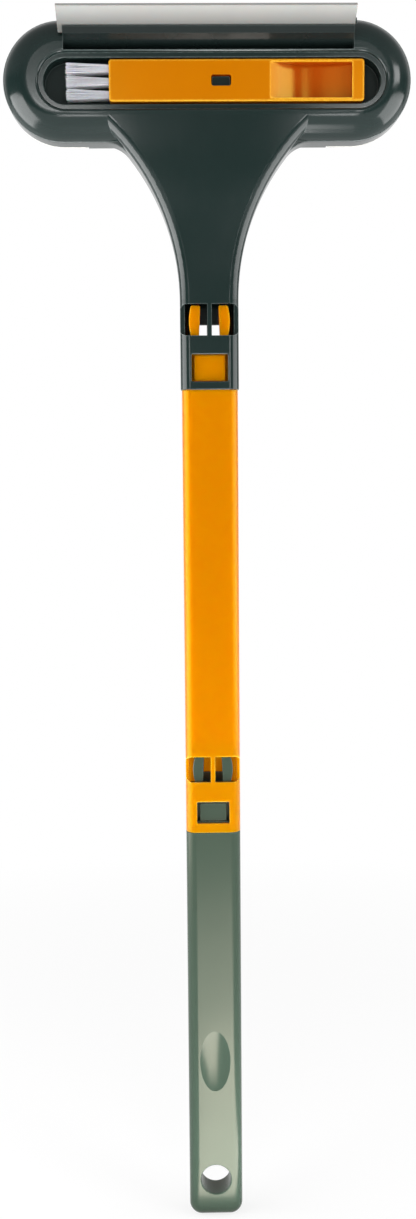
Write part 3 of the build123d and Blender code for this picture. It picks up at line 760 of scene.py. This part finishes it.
# Bristle tufts.
# Three bundles of crimp-free white nylon fibre, folded over their staples in flat
# bores; they leave the handle side by side and fan out to their trimmed tips.
# Nylon fibre: drawn smooth, so each one is a clouded white with a faint gleam.
fibre_shade_m = 0.0012
nylon_fibre, tree = new_material("nylon_fibre")
place = node(tree, "ShaderNodeTexCoord").outputs["Object"]
shade = node(tree, "ShaderNodeTexNoise", {"Scale": 1 / fibre_shade_m, "Detail": 2.0}, {"Vector": place})
tint = node(tree, "ShaderNodeMix", {"data_type": "RGBA"}, {"Factor": shade.outputs["Fac"]})
tint.inputs["A"].default_value = linear("#cfccd3")
tint.inputs["B"].default_value = linear("#e9e7ec")
rough = node(
    tree,
    "ShaderNodeMapRange",
    {"To Min": 0.30, "To Max": 0.50},
    {"Value": shade.outputs["Fac"]},
)
shader = node(
    tree,
    "ShaderNodeBsdfPrincipled",
    {"IOR": 1.53, "Subsurface Weight": 0.2, "Subsurface Scale": 0.001},
    {"Base Color": tint.outputs["Result"], "Roughness": rough.outputs["Result"]},
)
node(tree, "ShaderNodeOutputMaterial", links={"Surface": shader.outputs["BSDF"]})

fibre_radius_m = 0.00017
fibre_taper = 0.25
fibre_sides = 3
fibre_rings = 6
fibre_turn = 0.3
fibre_rows = 16
fibre_columns = 15
fibre_seed = 40
root_cover_m = 0.0008
bore_half_depth_m = 0.0036
bore_half_height_m = 0.0016
bore_play_depth_m = 0.00012
bore_play_height_m = 0.00010
tip_spread_depth = 1.35
tip_spread_height = 2.0
tip_play_depth_m = 0.00022
tip_play_height_m = 0.00012
tip_clump_m = 0.0011
clump_pull = 0.5
clump_shortfall = 0.09
trim_play = 0.02
ring_angles = [fibre_turn + 2 * math.pi * side / fibre_sides for side in range(fibre_sides)]
for tuft_number, tuft_name in enumerate(("tuft_lower", "tuft_middle", "tuft_upper")):
    low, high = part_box(tuft_name)
    root_x = high[0] - root_cover_m
    tip_x = low[0]
    mid_y = (low[1] + high[1]) / 2
    mid_z = (low[2] + high[2]) / 2
    chance = random.Random(fibre_seed + tuft_number)
    tuft_mesh = bmesh.new()
    for row in range(fibre_rows):
        for column in range(fibre_columns):
            across_y = (2 * (row + 0.5) / fibre_rows - 1) * bore_half_depth_m
            across_y += chance.uniform(-bore_play_depth_m, bore_play_depth_m)
            across_z = (2 * (column + 0.5) / fibre_columns - 1) * bore_half_height_m
            across_z += chance.uniform(-bore_play_height_m, bore_play_height_m)
            tip_y = across_y * tip_spread_depth + chance.gauss(0, tip_play_depth_m)
            tip_z = across_z * tip_spread_height
            clump_z = (math.floor(tip_z / tip_clump_m) + 0.5) * tip_clump_m
            off_clump = abs(tip_z - clump_z) / tip_clump_m
            tip_z += clump_pull * (clump_z - tip_z) + chance.gauss(0, tip_play_height_m)
            reach = 1 - clump_shortfall * off_clump - abs(chance.gauss(0, trim_play))
            rings = []
            for k in range(fibre_rings):
                t = k / (fibre_rings - 1)
                centre = Vector(
                    (
                        root_x + (tip_x - root_x) * t * reach,
                        mid_y + across_y + (tip_y - across_y) * t,
                        mid_z + across_z + (tip_z - across_z) * t,
                    )
                )
                radius = fibre_radius_m * (1 - fibre_taper * t)
                ring = []
                for angle in ring_angles:
                    out = Vector((0, math.cos(angle), math.sin(angle))) * radius
                    ring.append(tuft_mesh.verts.new(centre + out))
                rings.append(ring)
            for near_ring, far_ring in zip(rings, rings[1:]):
                for i in range(fibre_sides):
                    j = (i + 1) % fibre_sides
                    tuft_mesh.faces.new((near_ring[i], near_ring[j], far_ring[j], far_ring[i]))
            tuft_mesh.faces.new(rings[0][::-1])
            tuft_mesh.faces.new(rings[-1])
    tuft_mesh.normal_update()
    fibres_data = bpy.data.meshes.new(tuft_name + "_fibres")
    tuft_mesh.to_mesh(fibres_data)
    tuft_mesh.free()
    fibres_data.materials.append(nylon_fibre)
    for face in fibres_data.polygons:
        face.use_smooth = True
    tuft = bpy.data.objects.new(tuft_name + "_fibres", fibres_data)
    bpy.context.scene.collection.objects.link(tuft)
    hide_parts(tuft_name)
    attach(tuft, "brush")


# Floor.
# A sheet of matt white paper that the tool stands on; it stays white to the camera
# and in reflections, and keeps part of its shading so that the shadow shows.
floor_z = cad_box[0][2]
floor_half = 6.0
shadow_near_m = 0.1
shadow_far_m = 0.8
white_share_near = 0.75
floor_mesh = bpy.data.meshes.new("paper_floor")
floor_mesh.from_pydata(
    [
        (-floor_half, -floor_half, floor_z),
        (floor_half, -floor_half, floor_z),
        (floor_half, floor_half, floor_z),
        (-floor_half, floor_half, floor_z),
    ],
    [],
    [(0, 1, 2, 3)],
)
floor = bpy.data.objects.new("paper_floor", floor_mesh)
bpy.context.scene.collection.objects.link(floor)
matt_paper, tree = new_material("matt_paper")
rays = node(tree, "ShaderNodeLightPath")
seen = rays.outputs["Is Camera Ray"]
for kind in ("Is Glossy Ray", "Is Transmission Ray"):
    either = node(tree, "ShaderNodeMath", {"operation": "MAXIMUM"}, {0: seen, 1: rays.outputs[kind]})
    seen = either.outputs["Value"]
place = node(tree, "ShaderNodeTexCoord").outputs["Object"]
away = node(tree, "ShaderNodeVectorMath", {"operation": "LENGTH"}, {0: place})
plain = node(
    tree,
    "ShaderNodeMapRange",
    {"From Min": shadow_near_m, "From Max": shadow_far_m, "To Min": white_share_near, "To Max": 1.0},
    {"Value": away.outputs["Value"]},
)
white_share = node(
    tree,
    "ShaderNodeMath",
    {"operation": "MULTIPLY"},
    {0: seen, 1: plain.outputs["Result"]},
)
paper = node(tree, "ShaderNodeBsdfDiffuse", {"Color": linear("#f2f2f2")})
white = node(tree, "ShaderNodeEmission", {"Color": linear("#ffffff"), "Strength": 1.0})
shown = node(
    tree,
    "ShaderNodeMixShader",
    links={0: white_share.outputs["Value"], 1: paper.outputs["BSDF"], 2: white.outputs["Emission"]},
)
node(tree, "ShaderNodeOutputMaterial", links={"Surface": shown.outputs["Shader"]})
floor_mesh.materials.append(matt_paper)


# Light.
# A white room, dim behind the camera. Soft panels and two small strips stand in front,
# a large panel at each side, one high on the right, and two lie on the floor in front.
dim_level = 0.15
ceiling_level = 0.42
back_level = 0.6
straight_back = 0.85
world = bpy.data.worlds.new("white_room")
bpy.context.scene.world = world
world.use_nodes = True
tree = world.node_tree
tree.nodes.clear()
direction = node(tree, "ShaderNodeTexCoord").outputs["Generated"]
parts = node(tree, "ShaderNodeSeparateXYZ", links={"Vector": direction})
front = node(
    tree,
    "ShaderNodeMapRange",
    {
        "interpolation_type": "SMOOTHSTEP",
        "From Min": 0.25,
        "From Max": 0.45,
        "To Min": dim_level,
        "To Max": ceiling_level,
    },
    {"Value": parts.outputs["Z"]},
)
room = node(
    tree,
    "ShaderNodeMapRange",
    {"interpolation_type": "SMOOTHSTEP", "From Min": 0.3, "From Max": 0.7, "To Max": back_level},
    {"Value": parts.outputs["Y"], "To Min": front.outputs["Result"]},
)
rays = node(tree, "ShaderNodeLightPath")
seen = node(
    tree,
    "ShaderNodeMath",
    {"operation": "MAXIMUM"},
    {0: rays.outputs["Is Camera Ray"], 1: rays.outputs["Is Transmission Ray"]},
)
behind = node(
    tree,
    "ShaderNodeMath",
    {"operation": "GREATER_THAN", 1: straight_back},
    {0: parts.outputs["Y"]},
)
mirrored = node(
    tree,
    "ShaderNodeMath",
    {"operation": "MULTIPLY"},
    {0: behind.outputs["Value"], 1: rays.outputs["Is Glossy Ray"]},
)
seen = node(
    tree,
    "ShaderNodeMath",
    {"operation": "MAXIMUM"},
    {0: seen.outputs["Value"], 1: mirrored.outputs["Value"]},
)
level = node(
    tree,
    "ShaderNodeMix",
    {"data_type": "FLOAT", "B": 1.0},
    {"Factor": seen.outputs["Value"], "A": room.outputs["Result"]},
)
background = node(
    tree,
    "ShaderNodeBackground",
    {"Color": linear("#ffffff")},
    {"Strength": level.outputs["Result"]},
)
node(tree, "ShaderNodeOutputWorld", links={"Surface": background.outputs["Background"]})


def soft_panel(name, place, aim, width, height, radiance):
    data = bpy.data.lights.new(name, "AREA")
    data.shape = "RECTANGLE"
    data.size = width
    data.size_y = height
    data.energy = radiance * math.pi * width * height
    panel = bpy.data.objects.new(name, data)
    panel.location = place
    panel.rotation_euler = (Vector(aim) - Vector(place)).to_track_quat("-Z", "Y").to_euler()
    panel.visible_camera = False
    bpy.context.scene.collection.objects.link(panel)


# Place, aim, width and height in metres, then the radiance, where 1 is white.
floor_panel_z = floor_z + 0.002
soft_panel("left_front_panel", (-0.22, -0.95, 0.865), (0, 0, 0.70), 0.19, 0.16, 9.6)
soft_panel("right_front_panel", (0.265, -0.95, 0.865), (0, 0, 0.70), 0.19, 0.16, 8.0)
soft_panel("left_strip", (-0.15, -0.95, 0.60), (-0.08, 0, 0.68), 0.06, 0.13, 9.0)
soft_panel("right_strip", (0.19, -0.95, 0.60), (0.08, 0, 0.68), 0.06, 0.13, 11.0)
soft_panel("left_panel", (-0.75, -0.28, 0.34), (0, -0.28, 0.34), 0.95, 0.68, 5.2)
soft_panel("right_panel", (0.75, -0.28, 0.41), (0, -0.28, 0.41), 0.95, 0.54, 3.7)
soft_panel("right_high_panel", (0.674, -0.486, 0.92), (0.02, 0, 0.70), 0.36, 0.20, 7.0)
soft_panel("near_floor_panel", (0.045, -0.17, floor_panel_z), (0.045, -0.17, 1.0), 0.13, 0.28, 10.0)
soft_panel("far_floor_panel", (0.06, -0.47, floor_panel_z), (0.06, -0.47, 1.0), 0.20, 0.32, 4.5)


# Display.
# Plain display colours.
bpy.context.scene.view_settings.view_transform = "Standard"
